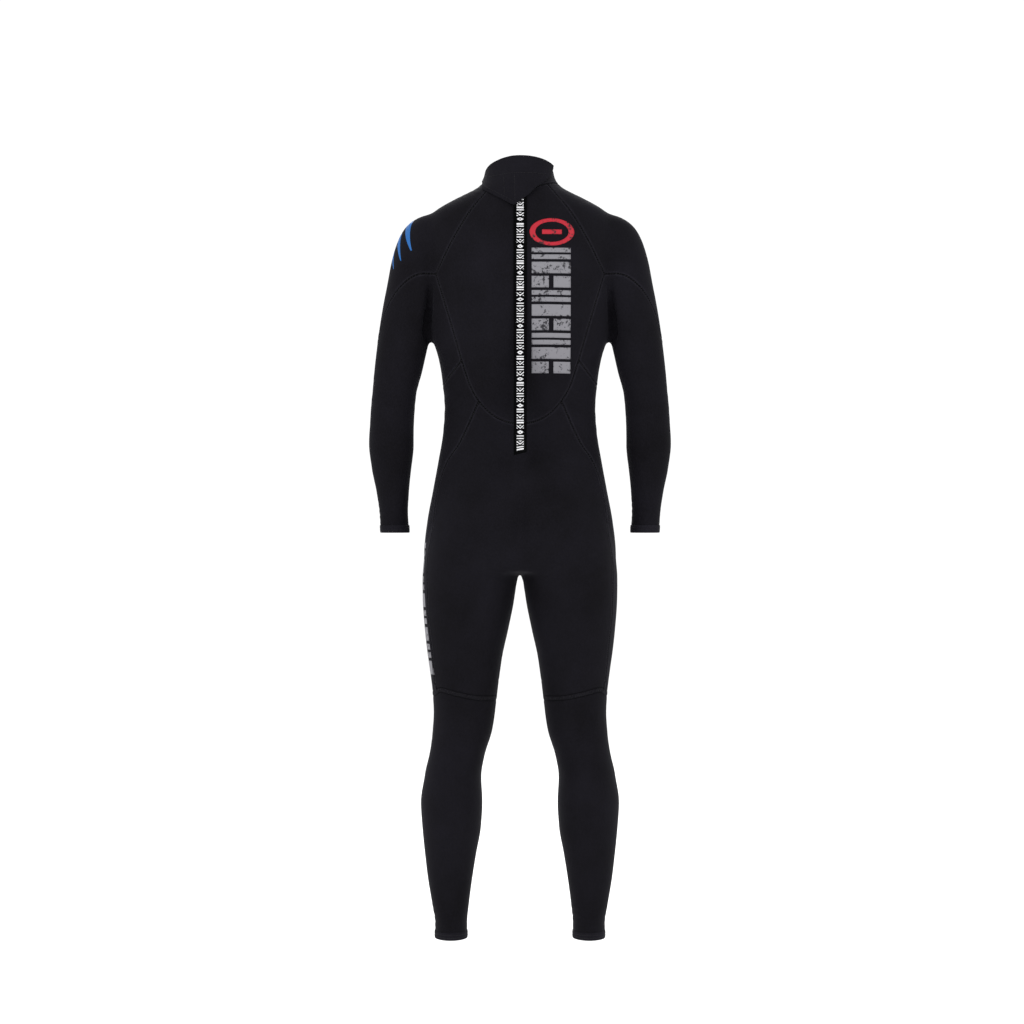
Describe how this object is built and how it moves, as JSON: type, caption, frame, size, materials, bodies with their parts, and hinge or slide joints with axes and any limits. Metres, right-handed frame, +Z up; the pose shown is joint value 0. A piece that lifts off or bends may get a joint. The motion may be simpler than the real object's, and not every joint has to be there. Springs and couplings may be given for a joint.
{
  "type": "full wetsuit",
  "caption": "Full-length back-zip wetsuit shell with curved seam panels, a stand-up collar with a hook-and-loop flap, and a long pull strap on the zip slider.",
  "frame": {"origin": "middle of the neck hole, level with the collar's seam, where the wearer's neck and shoulders or a hanger hold the suit up", "axes": "+Z up along the body, towards the head; -Y is the chest, +Y the back with the zip; +X is the wearer's left"},
  "size_m": [0.594, 0.25, 1.5226],
  "materials": {
    "body_neoprene": "matte knitted jersey over foam",
    "smooth_neoprene": "matte knitted jersey over foam",
    "hem_tape": "folded and stitched jersey",
    "webbing": "woven, with a pale printed band",
    "hook_and_loop": "short pile",
    "zip_tape": "woven tape",
    "zip_teeth": "moulded, satin",
    "zip_metal": "satin"
  },
  "bodies": {
    "suit": {"collar": "smooth_neoprene", "chest_panel": "body_neoprene", "front_panel": "body_neoprene", "seat_panel": "body_neoprene", "back_panel_left": "body_neoprene", "shoulder_panel_left": "body_neoprene", "sleeve_left": "body_neoprene", "elbow_panel_left": "body_neoprene", "knee_pad_left": "body_neoprene", "knee_hollow_left": "body_neoprene", "back_panel_right": "body_neoprene", "shoulder_panel_right": "body_neoprene", "sleeve_right": "body_neoprene", "elbow_panel_right": "body_neoprene", "knee_pad_right": "body_neoprene", "knee_hollow_right": "body_neoprene", "zip_tape_left": "zip_tape", "zip_tape_right": "zip_tape", "zip_teeth_left": "zip_teeth", "zip_teeth_right": "zip_teeth", "zip_top_stop": "zip_teeth", "zip_bottom_stop": "zip_teeth", "zip_guard": "smooth_neoprene", "flap_base": "smooth_neoprene", "flap_loop_patch": "hook_and_loop"},
    "zip_slider": {"zip_slider": "zip_metal"},
    "zip_puller": {"zip_puller": "zip_metal", "strap_top": "webbing"},
    "strap_upper": {"strap_upper": "webbing"},
    "strap_lower": {"strap_lower": "webbing", "strap_tab": "hook_and_loop"},
    "collar_flap": {"collar_flap": "smooth_neoprene", "flap_hook_patch": "hook_and_loop"},
    "left_forearm": {"forearm_panel_left": "body_neoprene", "wrist_hem_left": "hem_tape"},
    "right_forearm": {"forearm_panel_right": "body_neoprene", "wrist_hem_right": "hem_tape"},
    "left_calf": {"shin_panel_left": "body_neoprene", "calf_panel_left": "body_neoprene", "ankle_hem_left": "hem_tape"},
    "right_calf": {"shin_panel_right": "body_neoprene", "calf_panel_right": "body_neoprene", "ankle_hem_right": "hem_tape"}
  },
  "joints": [
    {"name": "zip_travel", "type": "hinge", "parent": "suit", "child": "zip_slider", "pos_m": [0, -0.522, -0.19], "axis": [-1, 0, 0], "range_deg": [0, 39]},
    {"name": "puller_hang", "type": "hinge", "parent": "zip_slider", "child": "zip_puller", "pos_m": [0, 0.08575, 0.01438], "axis": [1, 0, 0], "range_deg": [0, 49]},
    {"name": "strap_lift", "type": "hinge", "parent": "zip_puller", "child": "strap_upper", "pos_m": [0, 0.10445, -0.04956], "axis": [1, 0, 0], "range_deg": [0, 65]},
    {"name": "strap_drape", "type": "hinge", "parent": "strap_upper", "child": "strap_lower", "pos_m": [0, 0.1184, -0.205], "axis": [1, 0, 0], "range_deg": [-10, 0]},
    {"name": "flap_peel", "type": "hinge", "parent": "suit", "child": "collar_flap", "pos_m": [0.022, 0.0949, 0], "axis": [0, 0.3387, -0.9409], "range_deg": [0, 110]},
    {"name": "left_elbow", "type": "hinge", "parent": "suit", "child": "left_forearm", "pos_m": [0.247, 0.002, -0.402], "axis": [-1, 0, 0], "range_deg": [0, 90], "deforming": ["elbow_panel_left"]},
    {"name": "left_knee", "type": "hinge", "parent": "suit", "child": "left_calf", "pos_m": [0.113, 0.004, -1.06], "axis": [1, 0, 0], "range_deg": [0, 90], "deforming": ["knee_pad_left", "knee_hollow_left"]},
    {"name": "right_elbow", "type": "hinge", "parent": "suit", "child": "right_forearm", "pos_m": [-0.247, 0.002, -0.402], "axis": [-1, 0, 0], "range_deg": [0, 90], "deforming": ["elbow_panel_right"]},
    {"name": "right_knee", "type": "hinge", "parent": "suit", "child": "right_calf", "pos_m": [-0.113, 0.004, -1.06], "axis": [1, 0, 0], "range_deg": [0, 90], "deforming": ["knee_pad_right", "knee_hollow_right"]}
  ],
  "couplings": [
    {"joint": "puller_hang", "follows": "zip_travel", "ratio": 1.25},
    {"joint": "strap_drape", "follows": "zip_travel", "ratio": -0.25}
  ]
}
